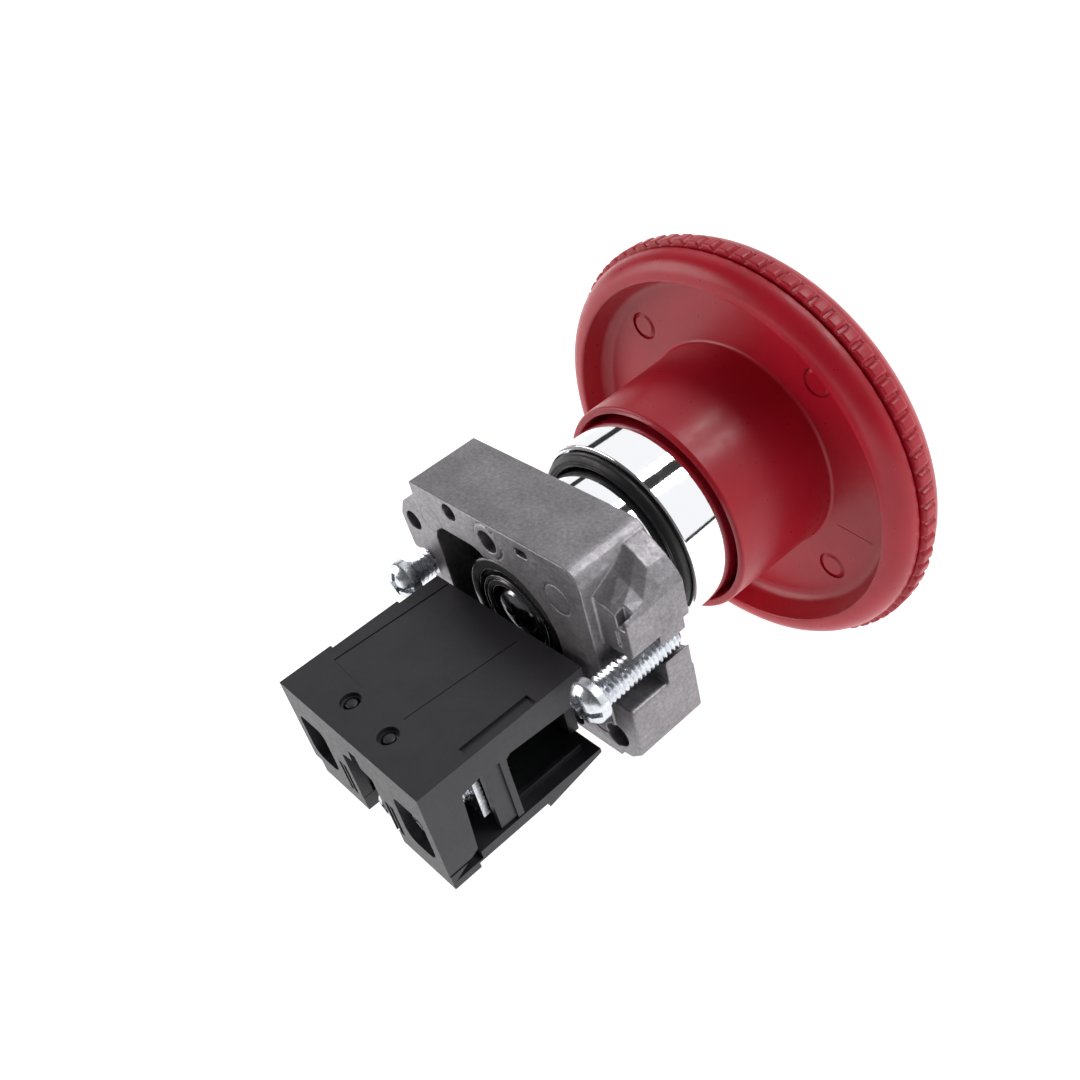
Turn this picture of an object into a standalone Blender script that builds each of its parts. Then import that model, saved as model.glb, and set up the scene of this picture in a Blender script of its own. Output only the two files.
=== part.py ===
"""Panel emergency stop: red mushroom head, chromed bezel, die-cast collar, one contact block.

The button axis is world Y. The head faces -Y, the contact block is at +Y, and Z is up.
The front surface of the panel is the plane y = 0. The head is modelled latched in, which
is the rest pose: it is released by a twist, and then moves out by HEAD_TRAVEL.
"""
import math

import bmesh
import bpy
from mathutils import Vector

MM = 0.001
TURN = 2.0 * math.pi

# Clearances
GAP = 0.3 * MM              # between pieces that touch on the real object
RUNNING = 0.35 * MM         # radial, between a screw or shaft and its hole

# Mushroom head
HEAD_R = 31.2 * MM          # over the teeth of the grip band
TOOTH_DEPTH = 0.55 * MM
TEETH = 78
BAND_FRONT = -25.3 * MM
BAND_REAR = -23.3 * MM
DOME_HEIGHT = 8.0 * MM
CAP_WALL = 1.9 * MM
BEAD_R = 30.35 * MM
LIP_R = 27.1 * MM
LIP_Y = -19.85 * MM
FLOOR_Y = -24.0 * MM
FLOOR_R = 24.2 * MM
DISH_PLATE = 1.2 * MM
SKIRT_R = 15.8 * MM
SKIRT_BORE_R = 14.7 * MM
SKIRT_ROOT_R = 16.15 * MM
SKIRT_END = -6.7 * MM
HUB_CEILING = -22.6 * MM
HUB_BOSS_R = 7.0 * MM
HUB_BOSS_END = -19.5 * MM
INSERT_R = 3.9 * MM
INSERT_END = -17.2 * MM
MARK_R = 2.1 * MM           # round ejector marks on the floor of the recess
MARK_PITCH_R = 21.45 * MM
MARK_DEPTH = 0.2 * MM

# Centre screw that ties the stem to the head
HEAD_SCREW_R = 3.9 * MM
HEAD_SCREW_SHANK_R = 1.5 * MM
HEAD_SCREW_END = 18.4 * MM

# Stem and its pusher disc
PUSHER_R = 8.6 * MM
PUSHER_END = 18.3 * MM
PUSHER_FRONT = 9.3 * MM
STEM_R = 6.4 * MM
STEM_NECK_R = 5.6 * MM
NECK_REAR = 3.3 * MM
STEM_FRONT = -16.6 * MM
HEAD_TRAVEL = 5.5 * MM

# Bezel
BEZEL_R = 13.95 * MM
BEZEL_FRONT = -16.0 * MM
BEZEL_CAVITY_R = 12.2 * MM
BEZEL_FLOOR = -2.8 * MM
GUIDE_R = 6.8 * MM
GUIDE_REAR = 2.4 * MM
BARREL_R = 11.0 * MM
BARREL_END = 14.6 * MM
BARREL_BORE_R = 8.95 * MM

# Collar
COLLAR_FRONT = 7.5 * MM
COLLAR_REAR = 18.6 * MM
COLLAR_HALF_Z = 15.0 * MM
COLLAR_HALF_X = 15.9 * MM
COLLAR_CORNER = 2.5 * MM
COLLAR_BORE_R = 11.35 * MM
COLLAR_LIP_Y = 15.0 * MM
COLLAR_HOLE_R = 8.95 * MM
WEB_REAR = 12.3 * MM        # the thin wall at each end that the clamp screws thread into
CLAMP_X = 18.3 * MM
CLAMP_HEAD_R = 2.75 * MM
CLAMP_SHANK_R = 1.95 * MM
CLAMP_HEAD_FRONT = 21.8 * MM
CLAMP_HEAD_REAR = 24.4 * MM
CLAMP_TIP = 8.8 * MM
BOSS_X = 0.6 * MM           # threaded bosses for the two contact blocks, turned 180 degrees
BOSS_Z = 12.1 * MM
BOSS_HOLE_R = 1.6 * MM

# Contact block
BLOCK_X = 0.8 * MM
BLOCK_HALF_X = 14.8 * MM
BLOCK_FRONT = 19.8 * MM
BLOCK_REAR = 44.75 * MM
BLOCK_TOP = 0.55 * MM
BLOCK_BOTTOM = -15.1 * MM
BASE_TOP = -13.6 * MM
LIP_DEPTH = 0.8 * MM
TOP_WALL = 2.15 * MM
FRONT_WALL = 1.5 * MM
REAR_WALL = 1.55 * MM
SIDE_STEP = 1.1 * MM
PIN_R = 0.8 * MM
PIN_PLACES = ((5.05 * MM, 40.75 * MM), (-3.5 * MM, 41.1 * MM))
PIN_SINK_R = 1.35 * MM
FIX_X = -0.6 * MM
FIX_Z = -12.1 * MM
FIX_HEAD_R = 2.1 * MM
FIX_HEAD_FRONT = 42.3 * MM
FIX_HEAD_REAR = 44.2 * MM
FIX_SHANK_R = 1.25 * MM
FIX_TIP = 15.1 * MM

# Contacts
PLUNGER_Z = -6.2 * MM
PLUNGER_HALF_X = 2.6 * MM
PLUNGER_HALF_Z = 1.8 * MM
PLUNGER_FRONT = 18.6 * MM
BRIDGE_Y = 28.0 * MM
BRIDGE_THICK = 0.6 * MM
SLOT_FRONT = BRIDGE_Y - 3.4 * MM    # slot in the plunger, longer than the bridge is thick,
SLOT_REAR = BRIDGE_Y + 2.4 * MM     # so the contact spring can take up the overtravel
BRIDGE_HALF_X = 9.6 * MM
TIP_X = 8.2 * MM
TIP_R = 1.3 * MM
TERMINAL_X = 10.4 * MM      # terminal screws, either side of the block's centre
TERMINAL_Z = -7.8 * MM
BAY_FRONT = 33.5 * MM
TERMINAL_PLATE_Y = 36.3 * MM
TERMINAL_PLATE = 1.0 * MM
TERMINAL_HEAD_R = 2.4 * MM
TERMINAL_SHANK_R = 1.6 * MM
TERMINAL_LENGTH = 7.3 * MM
TERMINAL_HEADS = ((1.0, 41.4 * MM), (-1.0, 43.9 * MM))     # side, rear of the screw's head


def clear_scene():
    for item in list(bpy.data.objects):
        bpy.data.objects.remove(item, do_unlink=True)
    for group in list(bpy.data.collections):
        bpy.data.collections.remove(group)


def new_collection(name):
    group = bpy.data.collections.new(name)
    bpy.context.scene.collection.children.link(group)
    return group


def material(name, colour, roughness, metallic=0.0):
    mat = bpy.data.materials.new(name)
    mat.use_nodes = True
    shader = mat.node_tree.nodes["Principled BSDF"]
    shader.inputs["Base Color"].default_value = (*colour, 1.0)
    shader.inputs["Roughness"].default_value = roughness
    shader.inputs["Metallic"].default_value = metallic
    mat.diffuse_color = (*colour, 1.0)
    return mat


clear_scene()
PARTS = new_collection("emergency_stop_button")
TOOLS = new_collection("construction")

RED = material("red_plastic", (0.50, 0.012, 0.022), 0.42)
BLACK = material("black_plastic", (0.012, 0.012, 0.014), 0.35)
CHARCOAL = material("charcoal_plastic", (0.045, 0.042, 0.048), 0.50)
RUBBER = material("black_rubber", (0.010, 0.010, 0.011), 0.60)
CHROME = material("chrome", (0.86, 0.87, 0.88), 0.06, 1.0)
ZINC = material("die_cast_zinc", (0.30, 0.30, 0.31), 0.42, 1.0)
STEEL = material("zinc_plated_steel", (0.62, 0.64, 0.67), 0.22, 1.0)
SPRING = material("spring_steel", (0.45, 0.45, 0.46), 0.30, 1.0)
BRASS = material("brass", (0.66, 0.46, 0.18), 0.30, 1.0)
SILVER = material("contact_silver", (0.80, 0.79, 0.76), 0.28, 1.0)
GREEN = material("green_plastic", (0.03, 0.26, 0.08), 0.45)


def place(obj, mat, group):
    """Link a new object, give it its material, and return it."""
    group.objects.link(obj)
    if mat is not None:
        obj.data.materials.append(mat)
    if group is TOOLS:
        obj.hide_render = True
        obj.display_type = "WIRE"
    return obj


def as_mesh(obj):
    """Replace an object by the plain mesh that its modifiers or curve make."""
    bpy.context.view_layer.update()
    graph = bpy.context.evaluated_depsgraph_get()
    mesh = bpy.data.meshes.new_from_object(obj.evaluated_get(graph))
    bm = bmesh.new()
    bm.from_mesh(mesh)
    bmesh.ops.remove_doubles(bm, verts=bm.verts, dist=0.005 * MM)
    bmesh.ops.recalc_face_normals(bm, faces=bm.faces)
    bm.to_mesh(mesh)
    bm.free()
    name = obj.name
    group = obj.users_collection[0]
    matrix = obj.matrix_world.copy()
    bpy.data.objects.remove(obj, do_unlink=True)
    plain = place(bpy.data.objects.new(name, mesh), None, group)
    plain.matrix_world = matrix
    return plain


def box(name, low, high, mat=None, group=None):
    """A box between two opposite corners, with its origin at its middle."""
    low, high = Vector(low), Vector(high)
    bm = bmesh.new()
    bmesh.ops.create_cube(bm, size=1.0)
    bmesh.ops.scale(bm, vec=high - low, verts=bm.verts)
    mesh = bpy.data.meshes.new(name)
    bm.to_mesh(mesh)
    bm.free()
    obj = place(bpy.data.objects.new(name, mesh), mat, group or TOOLS)
    obj.location = (low + high) / 2.0
    return obj


def turned(name, profile, mat=None, group=None, steps=48, x=0.0, z=0.0, ring=True):
    """A profile of (radius, y) turned about an axis along Y through x, z.

    The outer side runs from high y to low y. A ring's profile is a closed loop; a solid
    one starts and ends on the axis.
    """
    mesh = bpy.data.meshes.new(name)
    points = [(radius, 0.0, along) for radius, along in profile]
    edges = [(i, i + 1) for i in range(len(points) - 1)]
    if ring:
        edges.append((len(points) - 1, 0))
    mesh.from_pydata(points, edges, [])
    obj = place(bpy.data.objects.new(name, mesh), mat, group or TOOLS)
    obj.location = (x, 0.0, z)
    obj.rotation_euler = (-math.pi / 2.0, 0.0, 0.0)
    screw = obj.modifiers.new("turn", "SCREW")
    screw.axis = "Z"
    screw.angle = TURN
    screw.steps = steps
    screw.render_steps = steps
    screw.use_merge_vertices = True
    screw.merge_threshold = 0.01 * MM
    screw.use_smooth_shade = True
    return obj


def cylinder(name, radius, y0, y1, x=0.0, z=0.0, steps=32, mat=None, group=None):
    profile = [(0.0, y1), (radius, y1), (radius, y0), (0.0, y0)]
    return turned(name, profile, mat, group, steps, x, z, ring=False)


def flat_shape(name, outline, thickness, mat, group):
    """A flat outline, extruded half its thickness each way, as a mesh."""
    curve = bpy.data.curves.new(name, "CURVE")
    curve.dimensions = "2D"
    curve.fill_mode = "BOTH"
    curve.extrude = thickness / 2.0
    spline = curve.splines.new("POLY")
    spline.points.add(len(outline) - 1)
    for point, (u, v) in zip(spline.points, outline):
        point.co = (u, v, 0.0, 1.0)
    spline.use_cyclic_u = True
    return place(bpy.data.objects.new(name, curve), mat, group or TOOLS)


def prism_y(name, outline, y0, y1, mat=None, group=None):
    """An outline of (x, z) points that runs along Y from y0 to y1."""
    obj = flat_shape(name, outline, y1 - y0, mat, group)
    obj.rotation_euler = (math.pi / 2.0, 0.0, 0.0)
    obj.location = (0.0, (y0 + y1) / 2.0, 0.0)
    return as_mesh(obj)


def prism_x(name, outline, x0, x1, mat=None, group=None):
    """An outline of (y, z) points that runs along X from x0 to x1."""
    obj = flat_shape(name, outline, x1 - x0, mat, group)
    obj.rotation_euler = (math.pi / 2.0, 0.0, math.pi / 2.0)
    obj.location = ((x0 + x1) / 2.0, 0.0, 0.0)
    return as_mesh(obj)


def prism_z(name, outline, z0, z1, mat=None, group=None):
    """An outline of (x, y) points that runs along Z from z0 to z1."""
    obj = flat_shape(name, outline, z1 - z0, mat, group)
    obj.location = (0.0, 0.0, (z0 + z1) / 2.0)
    return as_mesh(obj)


def rounded(x0, x1, z0, z1, radius, steps=4, corners=(1, 1, 1, 1)):
    """A rectangle's outline; corners says which of its four corners are rounded."""
    centres = ((x1 - radius, z1 - radius), (x0 + radius, z1 - radius),
               (x0 + radius, z0 + radius), (x1 - radius, z0 + radius))
    sharp = ((x1, z1), (x0, z1), (x0, z0), (x1, z0))
    points = []
    for quarter in range(4):
        if not corners[quarter]:
            points.append(sharp[quarter])
            continue
        for i in range(steps + 1):
            angle = (quarter + i / steps) * math.pi / 2.0
            cx, cz = centres[quarter]
            points.append((cx + radius * math.cos(angle), cz + radius * math.sin(angle)))
    return points


def half_turned(outline):
    """The same outline turned by 180 degrees about the button axis."""
    return [(-x, -z) for x, z in outline]


def combine(obj, other, operation):
    """Cut the other object out of this one or join it to this one, then merge the slivers."""
    mod = obj.modifiers.new(other.name, "BOOLEAN")
    mod.operation = operation
    mod.solver = "EXACT"
    mod.object = other
    weld = obj.modifiers.new(f"tidy_{other.name}", "WELD")
    weld.merge_threshold = 0.005 * MM
    return obj


def cut(obj, *others):
    for other in others:
        combine(obj, other, "DIFFERENCE")
    return obj


def join(obj, *others):
    for other in others:
        combine(obj, other, "UNION")
    return obj


def coil(name, radius, wire_r, y0, y1, turns, x=0.0, z=0.0, per_turn=12):
    """A compression spring along Y, as a wire on a POLY spline."""
    curve = bpy.data.curves.new(name, "CURVE")
    curve.dimensions = "3D"
    curve.bevel_depth = wire_r
    curve.bevel_resolution = 2
    curve.use_fill_caps = True
    count = int(turns * per_turn) + 1
    spline = curve.splines.new("POLY")
    spline.points.add(count - 1)
    for i, point in enumerate(spline.points):
        angle = TURN * turns * i / (count - 1)
        along = y0 + (y1 - y0) * i / (count - 1)
        point.co = (radius * math.cos(angle), along, radius * math.sin(angle), 1.0)
    obj = place(bpy.data.objects.new(name, curve), SPRING, PARTS)
    obj.location = (x, 0.0, z)
    return obj


def smooth(obj, degrees=35.0):
    """Smooth shading on round faces, with sharp edges kept."""
    for face in obj.data.polygons:
        face.use_smooth = True
    obj.data.set_sharp_from_angle(angle=math.radians(degrees))


# ---------------------------------------------------------------- mushroom head

def mushroom_cap():
    """Front dome with the toothed grip band around its rim."""
    seat_r = 29.5 * MM
    edge = 0.3 * MM
    dome_r = HEAD_R - 0.7 * MM
    dome_front = BAND_FRONT - 0.4 * MM
    inner_r = seat_r - 3.0 * MM
    inner_front = BAND_FRONT - 2.4 * MM
    profile = []
    for angle in (0.0, 30.0, 60.0):
        a = math.radians(angle)
        depth = (DOME_HEIGHT - CAP_WALL - 1.6 * MM) * math.cos(a)
        profile.append((inner_r * math.sin(a), inner_front - depth))
    profile += [(inner_r, inner_front), (seat_r, BAND_FRONT - edge), (seat_r, BAND_REAR)]
    profile += [(HEAD_R - edge, BAND_REAR), (HEAD_R, BAND_REAR - edge)]
    profile += [(HEAD_R, BAND_FRONT + edge), (HEAD_R - edge, BAND_FRONT)]
    for angle in (88.0, 72.0, 54.0, 36.0, 18.0, 0.0):
        a = math.radians(angle)
        profile.append((dome_r * math.sin(a), dome_front - DOME_HEIGHT * math.cos(a)))
    cap = as_mesh(turned("mushroom_cap", profile, RED, PARTS, TEETH, ring=False))
    cut_teeth(cap, edge)
    smooth(cap, 30.0)
    return cap


def cut_teeth(cap, edge):
    """Split each face of the band down its middle and pull that line in, for one valley."""
    bm = bmesh.new()
    bm.from_mesh(cap.data)
    limit = HEAD_R - edge - 0.02 * MM

    def on_band(vert):
        return math.hypot(vert.co.x, vert.co.y) > limit

    rings = [e for e in bm.edges if all(on_band(v) for v in e.verts)
             and abs(e.verts[0].co.z - e.verts[1].co.z) < 0.01 * MM]
    new = bmesh.ops.subdivide_edges(bm, edges=rings, cuts=1)
    for vert in (v for v in new["geom_inner"] if isinstance(v, bmesh.types.BMVert)):
        out = math.hypot(vert.co.x, vert.co.y)
        vert.co.x *= (out - TOOTH_DEPTH) / out
        vert.co.y *= (out - TOOTH_DEPTH) / out
    bmesh.ops.triangulate(bm, faces=[f for f in bm.faces if len(f.verts) > 4])
    bm.to_mesh(cap.data)
    bm.free()


def mushroom_dish():
    """Rear of the head: rounded bead, recessed floor, and the skirt over the bezel."""
    front = FLOOR_Y - DISH_PLATE
    bore = INSERT_R + GAP
    profile = [
        (SKIRT_R - 0.45 * MM, SKIRT_END), (SKIRT_R, SKIRT_END - 0.45 * MM),
        (SKIRT_ROOT_R, FLOOR_Y + 1.2 * MM), (SKIRT_ROOT_R + 0.45 * MM, FLOOR_Y + 0.4 * MM),
        (SKIRT_ROOT_R + 1.35 * MM, FLOOR_Y), (FLOOR_R, FLOOR_Y),
        (FLOOR_R + 1.1 * MM, FLOOR_Y + 0.4 * MM), (FLOOR_R + 1.8 * MM, FLOOR_Y + 1.4 * MM),
        (LIP_R - 0.4 * MM, LIP_Y - 0.65 * MM), (LIP_R, LIP_Y - 0.1 * MM),
        (LIP_R + 0.7 * MM, LIP_Y), (LIP_R + 1.7 * MM, LIP_Y - 0.25 * MM),
        (BEAD_R - 0.65 * MM, LIP_Y - 0.95 * MM), (BEAD_R - 0.15 * MM, LIP_Y - 1.95 * MM),
        (BEAD_R, BAND_REAR + GAP), (29.2 * MM, BAND_REAR + GAP), (29.2 * MM, front),
        (bore, front), (bore, HUB_BOSS_END), (HUB_BOSS_R, HUB_BOSS_END),
        (HUB_BOSS_R, HUB_CEILING), (SKIRT_BORE_R, HUB_CEILING),
        (SKIRT_BORE_R, SKIRT_END - 0.4 * MM), (SKIRT_BORE_R + 0.3 * MM, SKIRT_END),
    ]
    dish = turned("mushroom_dish", profile, RED, PARTS, 72)
    for i in range(4):
        angle = math.radians(45.0 + 90.0 * i)
        x = MARK_PITCH_R * math.cos(angle)
        z = MARK_PITCH_R * math.sin(angle)
        outer = cylinder(f"mark_outer_{i}", MARK_R, FLOOR_Y - MARK_DEPTH, FLOOR_Y + MM, x, z, 20)
        cut(dish, outer)
    return dish


def hub_insert():
    """Threaded brass bush in the hub of the head."""
    bore = HEAD_SCREW_SHANK_R + RUNNING
    front = FLOOR_Y - DISH_PLATE + GAP
    profile = [(INSERT_R - 0.3 * MM, INSERT_END), (INSERT_R, INSERT_END - 0.3 * MM),
               (INSERT_R, front), (bore, front), (bore, INSERT_END)]
    return turned("hub_insert", profile, BRASS, PARTS, 24)


def head_screw():
    """Centre screw with a cross recess, seen in the middle of the pusher."""
    seat = 16.2 * MM
    profile = [
        (0.0, HEAD_SCREW_END), (1.8 * MM, HEAD_SCREW_END - 0.1 * MM),
        (3.1 * MM, HEAD_SCREW_END - 0.6 * MM), (HEAD_SCREW_R, HEAD_SCREW_END - 1.4 * MM),
        (HEAD_SCREW_R, seat), (HEAD_SCREW_SHANK_R, seat),
        (HEAD_SCREW_SHANK_R, -23.2 * MM), (1.0 * MM, -23.9 * MM), (0.0, -23.9 * MM),
    ]
    screw = turned("head_screw", profile, STEEL, PARTS, 24, ring=False)
    recess = cross_cutter("head_screw_recess", 0.0, 0.0, HEAD_SCREW_END, 1.9 * MM, 0.4 * MM, 1.3 * MM)
    return cut(screw, *recess)


def cross_cutter(name, x, z, top, reach, half_width, depth):
    """Two crossed boxes for a cross recess in a screw head that faces +Y."""
    low, high = top - depth, top + MM
    first = box(f"{name}_a", (x - reach, low, z - half_width), (x + reach, high, z + half_width))
    second = box(f"{name}_b", (x - half_width, low, z - reach), (x + half_width, high, z + reach))
    return first, second


# ---------------------------------------------------------------- operator body

def stem():
    """Black plastic stem; its rear disc pushes the contact block's plunger."""
    groove = 0.35 * MM
    pocket_r = HEAD_SCREW_R + 0.5 * MM
    profile = [
        (pocket_r + 0.3 * MM, PUSHER_END), (5.9 * MM, PUSHER_END),
        (6.05 * MM, PUSHER_END - groove), (6.55 * MM, PUSHER_END - groove),
        (6.7 * MM, PUSHER_END), (PUSHER_R - 0.3 * MM, PUSHER_END),
        (PUSHER_R, PUSHER_END - 0.3 * MM), (PUSHER_R, PUSHER_FRONT + 0.6 * MM),
        (PUSHER_R - 0.6 * MM, PUSHER_FRONT), (STEM_R, PUSHER_FRONT), (STEM_R, NECK_REAR),
        (STEM_NECK_R, NECK_REAR), (STEM_NECK_R, STEM_FRONT),
        (HEAD_SCREW_SHANK_R + RUNNING, STEM_FRONT),
        (HEAD_SCREW_SHANK_R + RUNNING, 15.9 * MM), (pocket_r, 15.9 * MM),
        (pocket_r, PUSHER_END - 0.6 * MM),
    ]
    return turned("stem", profile, BLACK, PARTS, 48)


def bezel_body():
    """Chromed bezel with its threaded barrel behind the panel."""
    recess = -1.2 * MM
    profile = [
        (BARREL_BORE_R + 0.3 * MM, BARREL_END), (BARREL_R - 0.3 * MM, BARREL_END),
        (BARREL_R, BARREL_END - 0.3 * MM), (BARREL_R, recess), (13.15 * MM, recess),
        (13.3 * MM, 0.0), (BEZEL_R - 0.25 * MM, 0.0), (BEZEL_R, -0.25 * MM),
        (BEZEL_R, BEZEL_FRONT + 0.8 * MM), (BEZEL_R - 0.6 * MM, BEZEL_FRONT),
        (BEZEL_CAVITY_R, BEZEL_FRONT), (BEZEL_CAVITY_R, BEZEL_FLOOR),
        (GUIDE_R, BEZEL_FLOOR), (GUIDE_R, GUIDE_REAR), (BARREL_BORE_R, GUIDE_REAR),
        (BARREL_BORE_R, BARREL_END - 0.3 * MM),
    ]
    return turned("bezel_body", profile, CHROME, PARTS, 64)


def panel_gasket():
    """Rubber gasket under the bezel, with two ridges towards the panel."""
    inner = BARREL_R + GAP
    front = -0.9 * MM
    profile = [
        (inner, 0.7 * MM), (inner + 0.3 * MM, 1.15 * MM), (12.0 * MM, 1.3 * MM),
        (12.1 * MM, 1.2 * MM), (12.45 * MM, 1.15 * MM), (12.75 * MM, 0.75 * MM),
        (12.85 * MM, 0.2 * MM), (12.85 * MM, front), (inner, front),
    ]
    return turned("panel_gasket", profile, RUBBER, PARTS, 48)


def shaft_seal():
    """Rubber lip seal round the stem, on the floor of the bezel's cavity."""
    rear = BEZEL_FLOOR - GAP
    inner = STEM_NECK_R + GAP
    profile = [(8.2 * MM, rear), (8.2 * MM, rear - 1.6 * MM), (7.0 * MM, rear - 2.2 * MM),
               (inner, rear - 2.2 * MM), (inner, rear - 1.4 * MM), (6.6 * MM, rear)]
    return turned("shaft_seal", profile, RUBBER, PARTS, 32)


def latch_ring():
    """Open wire ring behind the guide; it holds the stem until the head is twisted."""
    curve = bpy.data.curves.new("latch_ring", "CURVE")
    curve.dimensions = "3D"
    curve.bevel_depth = 0.45 * MM
    curve.bevel_resolution = 2
    curve.use_fill_caps = True
    count = 28
    spline = curve.splines.new("POLY")
    spline.points.add(count - 1)
    for i, point in enumerate(spline.points):
        angle = math.radians(20.0 + 320.0 * i / (count - 1))
        point.co = (7.6 * MM * math.cos(angle), 3.0 * MM, 7.6 * MM * math.sin(angle), 1.0)
    return place(bpy.data.objects.new("latch_ring", curve), SPRING, PARTS)


# ---------------------------------------------------------------- collar

def collar():
    """Die-cast collar: a block round the barrel, with two clamping lugs at each end."""
    front, rear = COLLAR_FRONT, COLLAR_REAR
    body = rounded(-COLLAR_HALF_X, COLLAR_HALF_X, -COLLAR_HALF_Z, COLLAR_HALF_Z,
                   COLLAR_CORNER, corners=(0, 1, 0, 1))
    long_lug = [(14.0 * MM, 1.8 * MM), (20.9 * MM, 1.8 * MM), (21.4 * MM, 2.4 * MM),
                (21.2 * MM, 7.6 * MM), (20.0 * MM, 10.0 * MM), (14.0 * MM, 12.6 * MM)]
    short_lug = [(-14.0 * MM, 3.3 * MM), (-14.0 * MM, 13.4 * MM), (-16.4 * MM, 12.6 * MM),
                 (-17.6 * MM, 10.4 * MM), (-20.3 * MM, 9.3 * MM), (-20.9 * MM, 8.6 * MM),
                 (-20.9 * MM, 3.3 * MM)]
    low_lug = [(-14.0 * MM, -4.9 * MM), (-19.4 * MM, -4.9 * MM), (-20.0 * MM, -5.5 * MM),
               (-20.0 * MM, -12.2 * MM), (-18.0 * MM, -14.2 * MM), (-14.0 * MM, -14.6 * MM)]
    web = rounded(-20.2 * MM, 20.2 * MM, -5.6 * MM, 5.6 * MM, 1.0 * MM, 2)
    piece = prism_y("collar", body, front, rear, ZINC, PARTS)
    join(piece,
         prism_y("lug_left", long_lug, front + 0.4 * MM, rear - 0.25 * MM),
         prism_y("lug_left_low", half_turned(short_lug), front + 0.4 * MM, rear - 1.4 * MM),
         prism_y("lug_right", short_lug, front + 0.4 * MM, rear - 1.4 * MM),
         prism_y("lug_right_low", low_lug, front + 0.4 * MM, rear - 0.25 * MM),
         prism_y("end_webs", web, front + 0.8 * MM, WEB_REAR),
         cylinder("boss_top", 2.45 * MM, front + MM, rear + 0.2 * MM, BOSS_X, BOSS_Z, 20),
         cylinder("boss_low", 2.45 * MM, front + MM, rear + 0.2 * MM, -BOSS_X, -BOSS_Z, 20))
    pocket = rounded(2.0 * MM, 13.2 * MM, -7.0 * MM, 9.4 * MM, 3.0 * MM, 4)
    cut(piece,
        cylinder("collar_bore", COLLAR_BORE_R, front - MM, COLLAR_LIP_Y, steps=56),
        cylinder("collar_hole", COLLAR_HOLE_R, front - MM, rear + MM, steps=48),
        prism_y("finger_pocket", pocket, 11.0 * MM, rear + MM))
    for side in (1.0, -1.0):
        tag = "left" if side > 0.0 else "right"
        cut(piece,
            cylinder(f"clamp_hole_{tag}", CLAMP_SHANK_R + RUNNING, front - MM, rear + MM,
                     side * CLAMP_X, 0.0, 20),
            cylinder(f"boss_hole_{tag}", BOSS_HOLE_R, COLLAR_LIP_Y - 0.3 * MM, rear + MM,
                     side * BOSS_X, side * BOSS_Z, 20),
            cylinder(f"dowel_hole_{tag}", 1.25 * MM, 14.5 * MM, rear + MM,
                     side * 8.0 * MM, side * 13.3 * MM, 16),
            box(f"vent_slot_{tag}",
                (min(-side * 6.9, -side * 4.9) * MM, 15.0 * MM, side * 13.3 * MM - 0.45 * MM),
                (max(-side * 6.9, -side * 4.9) * MM, rear + MM, side * 13.3 * MM + 0.45 * MM)))
    cut(piece,
        cylinder("long_lug_hole", 1.5 * MM, 13.0 * MM, rear + MM, 18.6 * MM, 7.2 * MM, 16),
        cylinder("low_lug_hole", 1.8 * MM, 12.8 * MM, rear + MM, -15.8 * MM, -11.4 * MM, 20),
        box("lug_notch", (-21.5 * MM, 15.6 * MM, 6.6 * MM), (-19.2 * MM, rear, 10.0 * MM)))
    return piece


def clamp_screw(side):
    """Jack screw that clamps the collar against the rear of the panel."""
    tag = "left" if side > 0.0 else "right"
    profile = [
        (0.0, CLAMP_HEAD_REAR), (1.7 * MM, CLAMP_HEAD_REAR - 0.1 * MM),
        (2.4 * MM, CLAMP_HEAD_REAR - 0.5 * MM), (CLAMP_HEAD_R, CLAMP_HEAD_REAR - 1.2 * MM),
        (CLAMP_HEAD_R, CLAMP_HEAD_FRONT), (CLAMP_SHANK_R, CLAMP_HEAD_FRONT),
        (CLAMP_SHANK_R, CLAMP_TIP + 0.6 * MM), (1.4 * MM, CLAMP_TIP), (0.0, CLAMP_TIP),
    ]
    x = side * CLAMP_X
    screw = turned(f"clamp_screw_{tag}", profile, STEEL, PARTS, 24, x, 0.0, ring=False)
    half = 0.4 * MM
    slot = box(f"clamp_slot_{tag}", (x - 4.0 * MM, CLAMP_HEAD_REAR - 1.4 * MM, -half),
               (x + 4.0 * MM, CLAMP_HEAD_REAR + MM, half))
    cross = box(f"clamp_cross_{tag}", (x - half, CLAMP_HEAD_REAR - 1.4 * MM, -1.7 * MM),
                (x + half, CLAMP_HEAD_REAR + MM, 1.7 * MM))
    return cut(screw, slot, cross)


# ---------------------------------------------------------------- contact block

def block_cavity(x0, x1, y0, y1):
    """One chamber of the housing, open towards the base plate."""
    name = f"cavity_{x0 / MM:.1f}_{y0 / MM:.1f}"
    return box(name, (BLOCK_X + x0, y0, BASE_TOP - MM), (BLOCK_X + x1, y1, BLOCK_TOP - TOP_WALL))


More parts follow.
